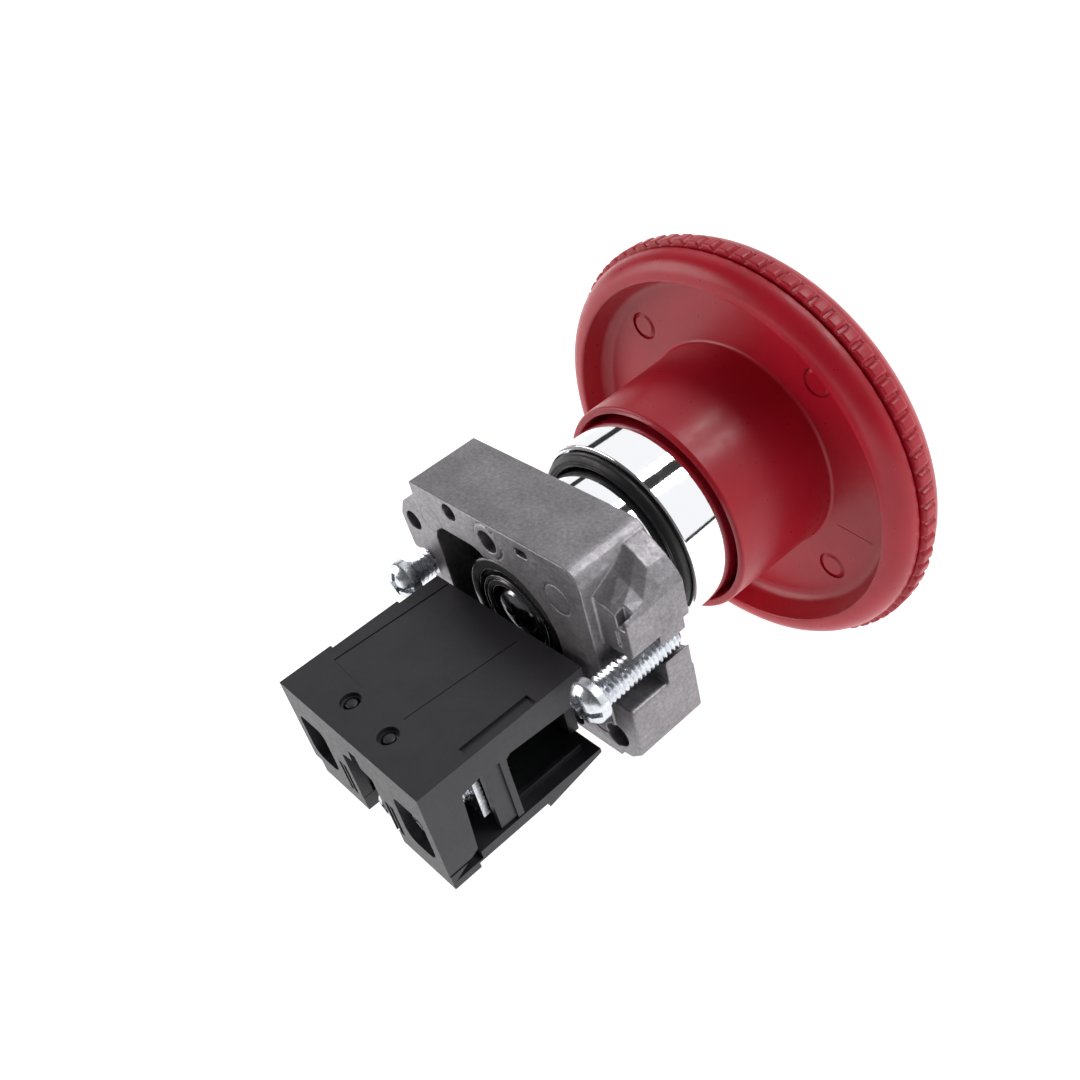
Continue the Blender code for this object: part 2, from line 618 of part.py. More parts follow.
def block_housing():
    """Moulded housing: top, front, rear and side walls, and the walls between chambers."""
    left, right = BLOCK_X + BLOCK_HALF_X, BLOCK_X - BLOCK_HALF_X
    inner_front = BLOCK_FRONT + FRONT_WALL
    inner_rear = BLOCK_REAR - REAR_WALL
    shell = box("block_housing", (right, BLOCK_FRONT, BASE_TOP + GAP),
                (left, BLOCK_REAR, BLOCK_TOP), CHARCOAL, PARTS)
    cut(shell,
        block_cavity(-11.0 * MM, 11.0 * MM, inner_front, 30.0 * MM),
        block_cavity(-4.6 * MM, 4.6 * MM, 29.0 * MM, inner_rear))
    for side in (1.0, -1.0):
        tag = "left" if side > 0.0 else "right"
        near, mid, far = side * 5.6 * MM, side * 11.0 * MM, side * 13.5 * MM
        out = side * (BLOCK_HALF_X + MM)
        window = side * 10.4 * MM
        screw_x = BLOCK_X + side * TERMINAL_X
        cut(shell,
            block_cavity(min(near, mid), max(near, mid), 29.0 * MM, BAY_FRONT + MM),
            block_cavity(min(near, far), max(near, far), BAY_FRONT, inner_rear),
            box(f"side_window_{tag}", (BLOCK_X + min(window, out), BLOCK_FRONT - MM, BASE_TOP - MM),
                (BLOCK_X + max(window, out), 33.0 * MM, -3.2 * MM)),
            box(f"cable_window_{tag}", (BLOCK_X + min(mid, out), 36.5 * MM, BASE_TOP - MM),
                (BLOCK_X + max(mid, out), 40.0 * MM, -3.0 * MM)),
            prism_y(f"screw_window_{tag}",
                    rounded(screw_x - 2.9 * MM, screw_x + 2.9 * MM, -11.9 * MM, -4.2 * MM,
                            1.8 * MM, 3),
                    inner_rear - MM, BLOCK_REAR + MM))
    cut(shell,
        prism_y("centre_window",
                [(1.4 * MM, -2.2 * MM), (-0.1 * MM, -2.2 * MM), (-0.3 * MM, -4.2 * MM),
                 (-2.5 * MM, -4.6 * MM), (-2.6 * MM, -9.4 * MM), (-3.2 * MM, -10.4 * MM),
                 (-3.2 * MM, -16.0 * MM), (4.1 * MM, -16.0 * MM), (4.1 * MM, -5.0 * MM),
                 (3.7 * MM, -4.5 * MM), (1.6 * MM, -4.2 * MM)],
                inner_rear - MM, BLOCK_REAR + MM),
        box("plunger_hole",
            (BLOCK_X - PLUNGER_HALF_X - GAP, BLOCK_FRONT - MM, PLUNGER_Z - PLUNGER_HALF_Z - GAP),
            (BLOCK_X + PLUNGER_HALF_X + GAP, inner_front + MM, PLUNGER_Z + PLUNGER_HALF_Z + GAP)),
        cylinder("fixing_hole", FIX_SHANK_R + RUNNING, BLOCK_FRONT - MM, inner_front + MM,
                 FIX_X, FIX_Z, 20))
    cut(shell,
        box("left_step_front", (left - SIDE_STEP, BLOCK_FRONT - MM, BASE_TOP - MM),
            (left + MM, 26.3 * MM, BLOCK_TOP + MM)),
        box("left_step_middle", (left - SIDE_STEP / 2.0, 26.0 * MM, BASE_TOP - MM),
            (left + MM, 36.8 * MM, BLOCK_TOP + MM)))
    for i, (x, y) in enumerate(PIN_PLACES):
        cut(shell, stake(f"pin_hole_{i}", x, y, PIN_R + GAP, BASE_TOP, BLOCK_TOP + MM),
            stake(f"pin_sink_{i}", x, y, PIN_SINK_R, BLOCK_TOP - 0.7 * MM, BLOCK_TOP + MM))
    return shell


def stake(name, x, y, radius, z0, z1, steps=20):
    """An upright round tool or pin."""
    bm = bmesh.new()
    bmesh.ops.create_cone(bm, cap_ends=True, segments=steps, radius1=radius, radius2=radius,
                          depth=z1 - z0)
    mesh = bpy.data.meshes.new(name)
    bm.to_mesh(mesh)
    bm.free()
    obj = place(bpy.data.objects.new(name, mesh), None, TOOLS)
    obj.location = (x, y, (z0 + z1) / 2.0)
    return obj


def block_base():
    """Base plate that closes the housing; its two pins are staked in the top wall."""
    left, right = BLOCK_X + BLOCK_HALF_X - SIDE_STEP, BLOCK_X - BLOCK_HALF_X
    plate = box("block_base", (right, BLOCK_FRONT + 0.4 * MM, BLOCK_BOTTOM),
                (left, BLOCK_REAR - 0.1 * MM, BASE_TOP), CHARCOAL, PARTS)
    join(plate,
         box("base_lip_front", (right, BLOCK_FRONT + 0.4 * MM, BLOCK_BOTTOM - LIP_DEPTH),
             (left, 29.4 * MM, BLOCK_BOTTOM + 0.5 * MM)),
         box("base_lip_rear", (right, 40.6 * MM, BLOCK_BOTTOM - LIP_DEPTH),
             (left, BLOCK_REAR - 0.1 * MM, BLOCK_BOTTOM + 0.5 * MM)))
    for i, (x, y) in enumerate(PIN_PLACES):
        join(plate, stake(f"pin_{i}", x, y, PIN_R, BASE_TOP - 0.5 * MM, BLOCK_TOP - 0.3 * MM))
    lip_z = BLOCK_BOTTOM - LIP_DEPTH
    taper = [(BLOCK_FRONT, lip_z - MM), (BLOCK_FRONT, BASE_TOP - 0.65 * MM),
             (29.5 * MM, lip_z), (29.5 * MM, lip_z - MM)]
    cut(plate,
        box("base_notch", (-3.4 * MM, 41.95 * MM, BLOCK_BOTTOM - 2.0 * LIP_DEPTH),
            (4.3 * MM, BLOCK_REAR + MM, BASE_TOP + 0.2 * MM)),
        prism_x("base_taper", taper, right - MM, left + MM))
    return plate


def block_fixing_screw():
    """Captive screw that ties the block to the collar's lower boss."""
    head_rear, head_front = FIX_HEAD_REAR, FIX_HEAD_FRONT
    profile = [
        (0.0, head_rear), (1.6 * MM, head_rear - 0.05 * MM), (FIX_HEAD_R, head_rear - 0.7 * MM),
        (FIX_HEAD_R, head_front), (FIX_SHANK_R, head_front), (FIX_SHANK_R, FIX_TIP + 0.4 * MM),
        (0.9 * MM, FIX_TIP), (0.0, FIX_TIP),
    ]
    screw = turned("block_fixing_screw", profile, STEEL, PARTS, 20, FIX_X, FIX_Z, ring=False)
    recess = cross_cutter("fixing_recess", FIX_X, FIX_Z, head_rear, 1.4 * MM, 0.32 * MM, 1.1 * MM)
    return cut(screw, *recess)


def contact_plunger():
    """Green plunger: it reaches out of the front wall and carries the contact bridge."""
    top, low = PLUNGER_Z + PLUNGER_HALF_Z, PLUNGER_Z - PLUNGER_HALF_Z
    end = SLOT_REAR + 1.8 * MM
    plunger = box("contact_plunger", (BLOCK_X - PLUNGER_HALF_X, PLUNGER_FRONT, low),
                  (BLOCK_X + PLUNGER_HALF_X, end, top), GREEN, PARTS)
    join(plunger,
         box("plunger_flange", (BLOCK_X - 4.0 * MM, end - 1.3 * MM, low - 0.6 * MM),
             (BLOCK_X + 4.0 * MM, end, top + 0.6 * MM)),
         cylinder("plunger_rod", 1.0 * MM, end - 0.5 * MM, end + 3.4 * MM, BLOCK_X, PLUNGER_Z, 16))
    return cut(plunger, box("bridge_slot",
                            (BLOCK_X - 5.0 * MM, SLOT_FRONT, PLUNGER_Z - 1.15 * MM),
                            (BLOCK_X + 5.0 * MM, SLOT_REAR, PLUNGER_Z + 1.15 * MM)))


def contact_bridge():
    """Moving contact bar."""
    return box("contact_bridge",
               (BLOCK_X - BRIDGE_HALF_X, BRIDGE_Y, PLUNGER_Z - 0.85 * MM),
               (BLOCK_X + BRIDGE_HALF_X, BRIDGE_Y + BRIDGE_THICK, PLUNGER_Z + 0.85 * MM),
               BRASS, PARTS)


def contact_tips(side):
    """The silver faces of one contact pair: one on the bridge, one on the fixed contact."""
    tag = "left" if side > 0.0 else "right"
    x = BLOCK_X + side * TIP_X
    moving = BRIDGE_Y + BRIDGE_THICK + GAP
    fixed = moving + 0.5 * MM + GAP
    cylinder(f"bridge_tip_{tag}", TIP_R, moving, moving + 0.5 * MM, x, PLUNGER_Z, 16, SILVER, PARTS)
    cylinder(f"fixed_tip_{tag}", TIP_R, fixed, fixed + 0.5 * MM, x, PLUNGER_Z, 16, SILVER, PARTS)


def fixed_contact(side):
    """Bent strip from the fixed contact tip to the terminal plate."""
    tag = "left" if side > 0.0 else "right"
    sheet = 0.7 * MM
    finger = BRIDGE_Y + BRIDGE_THICK + GAP + 0.5 * MM + GAP + 0.5 * MM + GAP
    plate_front, plate_rear = TERMINAL_PLATE_Y, TERMINAL_PLATE_Y + TERMINAL_PLATE
    inner, tip_end, outer = 5.9 * MM, 9.7 * MM, 13.0 * MM
    outline = [(tip_end, finger), (inner, finger), (inner, plate_rear), (outer, plate_rear),
               (outer, plate_front), (inner + sheet, plate_front),
               (inner + sheet, finger + sheet), (tip_end, finger + sheet)]
    outline = [(BLOCK_X + side * x, y) for x, y in outline]
    strip = prism_z(f"fixed_contact_{tag}", outline, -11.4 * MM, -4.2 * MM, STEEL, PARTS)
    return cut(strip, cylinder(f"terminal_hole_{tag}", TERMINAL_SHANK_R + RUNNING,
                               plate_front - MM, plate_rear + MM,
                               BLOCK_X + side * TERMINAL_X, TERMINAL_Z, 20))


def terminal(side, head_rear):
    """Terminal screw, and the clamp plate that it carries."""
    tag = "left" if side > 0.0 else "right"
    x = BLOCK_X + side * TERMINAL_X
    head_front = head_rear - 2.2 * MM
    tip = head_rear - TERMINAL_LENGTH
    profile = [
        (0.0, head_rear), (1.8 * MM, head_rear - 0.05 * MM),
        (TERMINAL_HEAD_R, head_rear - 0.6 * MM), (TERMINAL_HEAD_R, head_front),
        (TERMINAL_SHANK_R, head_front), (TERMINAL_SHANK_R, tip), (0.0, tip),
    ]
    screw = turned(f"terminal_screw_{tag}", profile, STEEL, PARTS, 20, x, TERMINAL_Z, ring=False)
    cut(screw, *cross_cutter(f"terminal_recess_{tag}", x, TERMINAL_Z, head_rear, 1.7 * MM,
                             0.35 * MM, 1.1 * MM))
    clamp = box(f"terminal_clamp_{tag}", (x - 2.7 * MM, head_front - GAP - MM, -11.0 * MM),
                (x + 2.7 * MM, head_front - GAP, -4.6 * MM), STEEL, PARTS)
    cut(clamp, cylinder(f"clamp_plate_hole_{tag}", TERMINAL_SHANK_R + RUNNING,
                        head_front - 3.0 * MM, head_front + MM, x, TERMINAL_Z, 20))


def main():
    mushroom_cap()
    mushroom_dish()
    hub_insert()
    head_screw()
    stem()
    bezel_body()
    panel_gasket()
    shaft_seal()
    latch_ring()
    coil("return_spring", 9.7 * MM, 0.55 * MM, -22.0 * MM, -3.4 * MM, 5, per_turn=14)
    collar()
    block_housing()
    block_base()
    block_fixing_screw()
    contact_plunger()
    contact_bridge()
    coil("contact_spring", 0.75 * MM, 0.14 * MM, SLOT_FRONT + GAP, BRIDGE_Y - GAP, 3,
         BLOCK_X, PLUNGER_Z, 10)
    coil("plunger_spring", 1.45 * MM, 0.2 * MM, SLOT_REAR + 2.2 * MM, 42.6 * MM, 6,
         BLOCK_X, PLUNGER_Z, 10)
    for side, head_rear in TERMINAL_HEADS:
        clamp_screw(side)
        contact_tips(side)
        fixed_contact(side)
        terminal(side, head_rear)


main()
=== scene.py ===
import math

import bmesh
import bpy
from mathutils import Matrix, Vector

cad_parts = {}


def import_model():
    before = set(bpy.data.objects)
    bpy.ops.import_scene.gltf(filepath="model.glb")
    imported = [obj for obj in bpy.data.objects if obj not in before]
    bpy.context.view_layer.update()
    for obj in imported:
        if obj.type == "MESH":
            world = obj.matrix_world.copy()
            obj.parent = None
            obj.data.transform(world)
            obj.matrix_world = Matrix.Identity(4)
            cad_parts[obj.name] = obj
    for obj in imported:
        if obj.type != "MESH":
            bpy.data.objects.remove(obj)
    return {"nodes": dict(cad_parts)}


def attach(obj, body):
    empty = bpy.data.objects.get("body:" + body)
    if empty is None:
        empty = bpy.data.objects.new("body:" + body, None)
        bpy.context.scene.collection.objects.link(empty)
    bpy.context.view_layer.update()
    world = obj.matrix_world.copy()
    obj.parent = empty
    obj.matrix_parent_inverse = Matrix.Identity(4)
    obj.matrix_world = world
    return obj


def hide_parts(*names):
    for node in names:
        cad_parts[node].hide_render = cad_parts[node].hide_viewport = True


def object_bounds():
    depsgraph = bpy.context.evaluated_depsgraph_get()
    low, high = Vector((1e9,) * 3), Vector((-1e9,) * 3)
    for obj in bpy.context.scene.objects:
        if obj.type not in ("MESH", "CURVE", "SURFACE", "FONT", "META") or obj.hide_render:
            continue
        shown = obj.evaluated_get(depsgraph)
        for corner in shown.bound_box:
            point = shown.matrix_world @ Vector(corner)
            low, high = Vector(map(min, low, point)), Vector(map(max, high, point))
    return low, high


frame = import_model()
CAD_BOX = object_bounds()

MM = 0.001
TURN = 2.0 * math.pi


# ---------------------------------------------------------------- mesh helpers (sizes in mm)

def fillet(points, closed=True, steps=4):
    """Rounds every corner of (u, v, radius) by its radius; a corner of (u, v) stays sharp."""
    out = []
    count = len(points)
    for i, point in enumerate(points):
        radius = point[2] if len(point) > 2 else 0.0
        if radius <= 0.0 or (not closed and i in (0, count - 1)):
            out.append((point[0], point[1]))
            continue
        here = Vector(point[:2])
        back = (Vector(points[i - 1][:2]) - here).normalized()
        ahead = (Vector(points[(i + 1) % count][:2]) - here).normalized()
        half = back.angle(ahead) / 2.0
        start = here + back * (radius / math.tan(half))
        end = here + ahead * (radius / math.tan(half))
        centre = here + (back + ahead).normalized() * (radius / math.sin(half))
        first = math.atan2(start.y - centre.y, start.x - centre.x)
        last = math.atan2(end.y - centre.y, end.x - centre.x)
        sweep = (last - first + math.pi) % TURN - math.pi
        for k in range(steps + 1):
            angle = first + sweep * k / steps
            out.append((centre.x + radius * math.cos(angle), centre.y + radius * math.sin(angle)))
    return out


def build(name, bm, mat=None, sharp=35.0):
    bmesh.ops.remove_doubles(bm, verts=bm.verts, dist=1e-4)
    bmesh.ops.recalc_face_normals(bm, faces=bm.faces)
    bmesh.ops.scale(bm, vec=(MM, MM, MM), verts=bm.verts)
    mesh = bpy.data.meshes.new(name)
    bm.to_mesh(mesh)
    bm.free()
    obj = bpy.data.objects.new(name, mesh)
    bpy.context.scene.collection.objects.link(obj)
    if mat is not None:
        mesh.materials.append(mat)
    shade(obj, sharp)
    return obj


def shade(obj, sharp=35.0):
    for face in obj.data.polygons:
        face.use_smooth = True
    obj.data.set_sharp_from_angle(angle=math.radians(sharp))


def revolve(name, profile, steps=96, closed=True, at=(0.0, 0.0), warp=None, mat=None, sharp=35.0):
    """A profile of (radius, y) turned about the line along Y through at = (x, z)."""
    bm = bmesh.new()
    rings = []
    for i in range(steps):
        angle = TURN * i / steps
        ring = []
        for radius, y in profile:
            r = warp(radius, y, angle) if warp else radius
            ring.append(bm.verts.new((at[0] + r * math.cos(angle), y, at[1] + r * math.sin(angle))))
        rings.append(ring)
    last = len(profile) if closed else len(profile) - 1
    for i in range(steps):
        one, two = rings[i], rings[(i + 1) % steps]
        for j in range(last):
            k = (j + 1) % len(profile)
            bm.faces.new([one[j], one[k], two[k], two[j]])
    return build(name, bm, mat, sharp)


def prism(name, outline, start, end, mat=None, axis="y"):
    """An outline of (u, v) points pushed along an axis: (x, z) along y, (x, y) along z, (y, z) along x."""
    bm = bmesh.new()
    order = {"y": lambda u, v, w: (u, w, v), "z": lambda u, v, w: (u, v, w),
             "x": lambda u, v, w: (w, u, v)}[axis]
    near = [bm.verts.new(order(u, v, min(start, end))) for u, v in outline]
    far = [bm.verts.new(order(u, v, max(start, end))) for u, v in outline]
    bm.faces.new(near)
    bm.faces.new(far)
    for i in range(len(outline)):
        k = (i + 1) % len(outline)
        bm.faces.new([near[i], near[k], far[k], far[i]])
    return build(name, bm, mat)


def loft(name, sections):
    """A skin over sections of (y, outline); every outline has the same number of (x, z) points."""
    bm = bmesh.new()
    rings = [[bm.verts.new((x, y, z)) for x, z in outline] for y, outline in sections]
    bm.faces.new(rings[0])
    bm.faces.new(rings[-1])
    for one, two in zip(rings, rings[1:]):
        for i in range(len(one)):
            k = (i + 1) % len(one)
            bm.faces.new([one[i], one[k], two[k], two[i]])
    return build(name, bm)


def slab(name, one, two, mat=None):
    """A block between two opposite corners, as a prism."""
    return prism(name, rect(one[0], two[0], one[2], two[2]), one[1], two[1], mat)


def rod(name, radius, start, end, at=(0.0, 0.0), steps=32):
    return prism(name, circle(radius, at, steps), start, end)


def circle(radius, at=(0.0, 0.0), steps=32):
    return [(at[0] + radius * math.cos(TURN * i / steps), at[1] + radius * math.sin(TURN * i / steps))
            for i in range(steps)]


def rect(u0, u1, v0, v1, radius=0.0):
    """A rectangle between two opposite corners, given in any order."""
    left, right = min(u0, u1), max(u0, u1)
    low, high = min(v0, v1), max(v0, v1)
    return fillet([(left, low, radius), (right, low, radius), (right, high, radius), (left, high, radius)])


def flipped(outline):
    """The outline turned by half a turn about the button axis."""
    return [(-p[0], -p[1], *p[2:]) for p in outline]


def bake(obj):
    """Apply every modifier of a mesh object."""
    bpy.context.view_layer.update()
    graph = bpy.context.evaluated_depsgraph_get()
    mesh = bpy.data.meshes.new_from_object(obj.evaluated_get(graph))
    obj.modifiers.clear()
    obj.data = mesh
    return obj


def drop(*objs):
    for obj in objs:
        bpy.data.objects.remove(obj, do_unlink=True)


def combine(obj, others, operation):
    for other in others:
        mod = obj.modifiers.new("solid", "BOOLEAN")
        mod.operation = operation
        mod.solver = "EXACT"
        mod.object = other
        weld = obj.modifiers.new("weld", "WELD")
        weld.merge_threshold = 0.004 * MM
    bake(obj)
    drop(*others)
    return obj


def cut(obj, *others):
    return combine(obj, others, "DIFFERENCE")


def join(obj, *others):
    return combine(obj, others, "UNION")


def bevel(obj, width):
    """Edges rounded over width mm, applied."""
    mod = obj.modifiers.new("bevel", "BEVEL")
    mod.width = width * MM
    mod.segments = 2
    mod.limit_method = "ANGLE"
    mod.angle_limit = math.radians(30.0)
    mod.use_clamp_overlap = True
    bake(obj)
    shade(obj, 50.0)
    normal = obj.modifiers.new("normals", "WEIGHTED_NORMAL")
    normal.keep_sharp = True
    return bake(obj)


def soften(obj, voxel, rounds, keep):
    """A cast look: the solid is remeshed at voxel mm, smoothed, and thinned to a part of its faces."""
    mod = obj.modifiers.new("remesh", "REMESH")
    mod.mode = "VOXEL"
    mod.voxel_size = voxel * MM
    mod.adaptivity = 0.0
    relax = obj.modifiers.new("smooth", "SMOOTH")
    relax.factor = 0.5
    relax.iterations = rounds
    less = obj.modifiers.new("decimate", "DECIMATE")
    less.ratio = keep
    bake(obj)
    for face in obj.data.polygons:
        face.use_smooth = True
    return obj


# ---------------------------------------------------------------- materials

class Nodes:
    """A small helper that builds one procedural material."""

    def __init__(self, name, colour, rough, metal=0.0, **sockets):
        self.mat = bpy.data.materials.new(name)
        self.mat.use_nodes = True
        self.tree = self.mat.node_tree
        self.shader = self.tree.nodes["Principled BSDF"]
        self.shader.inputs["Base Color"].default_value = (*colour, 1.0)
        self.shader.inputs["Roughness"].default_value = rough
        self.shader.inputs["Metallic"].default_value = metal
        for key, value in sockets.items():
            self.shader.inputs[key.replace("_", " ")].default_value = value
        self.coords = self.tree.nodes.new("ShaderNodeTexCoord").outputs["Object"]
        self.normal = None

    def scaled(self, stretch):
        """Object coordinates, stretched along x, y and z."""
        node = self.tree.nodes.new("ShaderNodeMapping")
        node.inputs["Scale"].default_value = stretch
        self.tree.links.new(self.coords, node.inputs["Vector"])
        return node.outputs["Vector"]

    def noise(self, size, detail=3.0, rough=0.55, stretch=(1.0, 1.0, 1.0)):
        """Noise whose blobs are about size mm across."""
        node = self.tree.nodes.new("ShaderNodeTexNoise")
        node.inputs["Scale"].default_value = 1.0 / (size * MM)
        node.inputs["Detail"].default_value = detail
        node.inputs["Roughness"].default_value = rough
        self.tree.links.new(self.scaled(stretch), node.inputs["Vector"])
        return node.outputs["Fac"]

    def ramp(self, value, *stops):
        """A colour ramp over stops of (position, colour or grey)."""
        node = self.tree.nodes.new("ShaderNodeValToRGB")
        self.tree.links.new(value, node.inputs["Fac"])
        band = node.color_ramp
        while len(band.elements) < len(stops):
            band.elements.new(0.5)
        for element, (place, colour) in zip(band.elements, stops):
            element.position = place
            grey = isinstance(colour, (int, float))
            element.color = (colour, colour, colour, 1.0) if grey else (*colour, 1.0)
        return node.outputs["Color"]

    def mix(self, factor, one, two, blend="MIX"):
        node = self.tree.nodes.new("ShaderNodeMix")
        node.data_type = "RGBA"
        node.blend_type = blend
        for key, value in (("Factor", factor), ("A", one), ("B", two)):
            self.feed(node.inputs[key], value)
        return [s for s in node.outputs if s.type == "RGBA"][0]

    def feed(self, socket, value):
        if isinstance(value, bpy.types.NodeSocket):
            self.tree.links.new(value, socket)
        elif isinstance(value, tuple):
            socket.default_value = (*value, 1.0)
        else:
            socket.default_value = value

    def colour(self, value):
        self.tree.links.new(value, self.shader.inputs["Base Color"])

    def rough(self, value):
        self.tree.links.new(value, self.shader.inputs["Roughness"])

    def bump(self, value, height):
        """Bump whose full swing is height mm."""
        node = self.tree.nodes.new("ShaderNodeBump")
        node.inputs["Strength"].default_value = 1.0
        node.inputs["Distance"].default_value = height * MM
        self.tree.links.new(value, node.inputs["Height"])
        if self.normal is not None:
            self.tree.links.new(self.normal, node.inputs["Normal"])
        self.normal = node.outputs["Normal"]
        self.tree.links.new(self.normal, self.shader.inputs["Normal"])


def red_plastic():
    m = Nodes("red_plastic", (0.42, 0.007, 0.017), 0.32, Specular_IOR_Level=0.38)
    m.colour(m.ramp(m.noise(9.0, 4.0), (0.3, (0.38, 0.006, 0.018)), (0.7, (0.45, 0.009, 0.025))))
    m.rough(m.ramp(m.noise(1.2, 5.0), (0.3, 0.27), (0.75, 0.38)))
    m.bump(m.noise(0.35, 4.0), 0.010)
    m.bump(m.noise(6.0, 2.0), 0.04)
    return m.mat


def chrome():
    m = Nodes("chrome", (0.93, 0.935, 0.95), 0.05, 1.0)
    m.rough(m.ramp(m.noise(2.5, 5.0), (0.35, 0.03), (0.8, 0.09)))
    m.bump(m.noise(3.0, 3.0, stretch=(1.0, 0.35, 1.0)), 0.010)
    m.bump(m.noise(0.5, 4.0, 0.7), 0.0025)
    return m.mat


def rubber():
    m = Nodes("black_rubber", (0.012, 0.012, 0.013), 0.5)
    m.colour(m.ramp(m.noise(1.5, 5.0), (0.35, (0.008, 0.008, 0.009)), (0.8, (0.017, 0.017, 0.018))))
    m.rough(m.ramp(m.noise(0.9, 4.0), (0.3, 0.36), (0.8, 0.55)))
    m.bump(m.noise(0.25, 4.0), 0.008)
    return m.mat


def die_cast():
    """Grey cast metal with fine mottling, small bright specks and short scratches."""
    m = Nodes("die_cast_zinc", (0.30, 0.29, 0.31), 0.5, 0.85)
    broad = m.ramp(m.noise(4.5, 3.0), (0.34, (0.31, 0.297, 0.312)), (0.70, (0.41, 0.392, 0.415)))
    mottle = m.ramp(m.noise(0.5, 7.0, 0.75), (0.34, (0.58, 0.57, 0.58)), (0.68, (1.0, 1.0, 1.0)))
    base = m.mix(1.0, broad, mottle, "MULTIPLY")
    speck = m.ramp(m.noise(0.22, 3.0, 0.8), (0.64, 0.0), (0.74, 0.5))
    base = m.mix(speck, base, (0.70, 0.69, 0.70))
    scratch = m.ramp(m.noise(0.22, 3.0, 0.6, (0.10, 1.0, 1.0)), (0.62, 0.0), (0.70, 0.25))
    m.colour(m.mix(scratch, base, (0.66, 0.65, 0.67)))
    m.rough(m.ramp(m.noise(0.8, 6.0, 0.65), (0.3, 0.34), (0.75, 0.56)))
    m.bump(m.noise(0.30, 5.0, 0.65), 0.014)
    m.bump(m.noise(3.5, 3.0), 0.05)
    return m.mat


def charcoal():
    m = Nodes("charcoal_plastic", (0.045, 0.042, 0.048), 0.48)
    m.colour(m.ramp(m.noise(4.0, 5.0), (0.3, (0.0165, 0.0145, 0.0190)), (0.75, (0.0245, 0.0220, 0.0275))))
    m.rough(m.ramp(m.noise(0.6, 6.0, 0.65), (0.3, 0.36), (0.8, 0.54)))
    m.bump(m.noise(0.16, 4.0, 0.6), 0.009)
    m.bump(m.noise(2.5, 2.0), 0.020)
    return m.mat


def gloss_black():
    m = Nodes("black_plastic", (0.008, 0.008, 0.009), 0.16, Coat_Weight=0.4, Coat_Roughness=0.08)
    m.rough(m.ramp(m.noise(1.2, 5.0), (0.3, 0.12), (0.8, 0.24)))
    m.bump(m.noise(2.0, 3.0), 0.008)
    return m.mat


def plated(name, colour, rough):
    m = Nodes(name, colour, rough, 1.0)
    dark = tuple(c * 0.70 for c in colour)
    m.colour(m.ramp(m.noise(0.9, 5.0), (0.3, dark), (0.7, colour)))
    m.rough(m.ramp(m.noise(0.5, 5.0), (0.3, rough * 0.7), (0.8, rough * 1.7)))
    m.bump(m.noise(0.4, 4.0), 0.006)
    return m.mat


def green_plastic():
    m = Nodes("green_plastic", (0.03, 0.26, 0.08), 0.4)
    m.colour(m.ramp(m.noise(1.5, 4.0), (0.3, (0.026, 0.23, 0.07)), (0.7, (0.036, 0.29, 0.09))))
    m.bump(m.noise(0.2, 4.0), 0.008)
    return m.mat


RED = red_plastic()
CHROME = chrome()
RUBBER = rubber()
ZINC = die_cast()
CHARCOAL = charcoal()
BLACK = gloss_black()
STEEL = plated("plated_steel", (0.80, 0.83, 0.88), 0.25)
# Darkened steel for the head screw: its low base colour is a painted dark reflection, standing in for the
# dark surroundings the screw mirrors.
PAINTED_DARK_REFLECTION_STEEL = plated("steel_with_painted_dark_reflection", (0.30, 0.31, 0.33), 0.16)
WIRE = plated("spring_steel", (0.50, 0.50, 0.51), 0.28)
BRASS = plated("brass", (0.70, 0.50, 0.22), 0.26)
SILVER = plated("contact_silver", (0.82, 0.81, 0.78), 0.24)
GREEN = green_plastic()


def finish_piece(obj, node, body):
    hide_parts(node)
    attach(obj, body)


# ---------------------------------------------------------------- head

HEAD_R = 31.2
TEETH = 78
TOOTH_STEPS = 12
TOOTH_DEPTH = 0.55
BAND_FRONT, BAND_REAR = -25.3, -23.3
DOME_HEIGHT = 8.0
DOME_STEPS = 24
DISH_FLOOR = -24.0
LIP_REAR = -19.85
SKIRT_REAR = -6.7
MARK_PLACE_R = 21.45


def tooth(radius, y, angle):
    """Pulls the grip band in between its teeth: wide flat lands with narrow valleys."""
    if radius < HEAD_R - 0.9 or not BAND_FRONT - 0.35 < y < BAND_REAR + 0.1:
        return radius
    phase = (angle * TEETH / TURN) % 1.0
    wave = abs(2.0 * phase - 1.0)
    valley = min(1.0, max(0.0, (wave - 0.60) / 0.24))
    return radius - TOOTH_DEPTH * valley


def mushroom_cap():
    dome_r, dome_y = HEAD_R - 0.55, BAND_FRONT - 0.35
    dome = []
    for i in range(DOME_STEPS + 1):
        angle = math.radians(90.0 * i / DOME_STEPS)
        dome.append((dome_r * math.cos(angle), dome_y - DOME_HEIGHT * math.sin(angle)))
    inner = [(0.0, -32.1), (20.0, -30.2), (26.5, BAND_FRONT - 2.4)]
    band = fillet([(29.5, BAND_FRONT - 0.3), (29.5, BAND_REAR), (HEAD_R, BAND_REAR, 0.28),
                   (HEAD_R, BAND_FRONT, 0.30), (dome_r, dome_y)], closed=False, steps=3)
    cap = revolve("mushroom_cap_skin", inner + band[:-1] + dome, TEETH * TOOTH_STEPS, closed=False,
                  warp=tooth, mat=RED, sharp=40.0)
    finish_piece(cap, "mushroom_cap", "head")


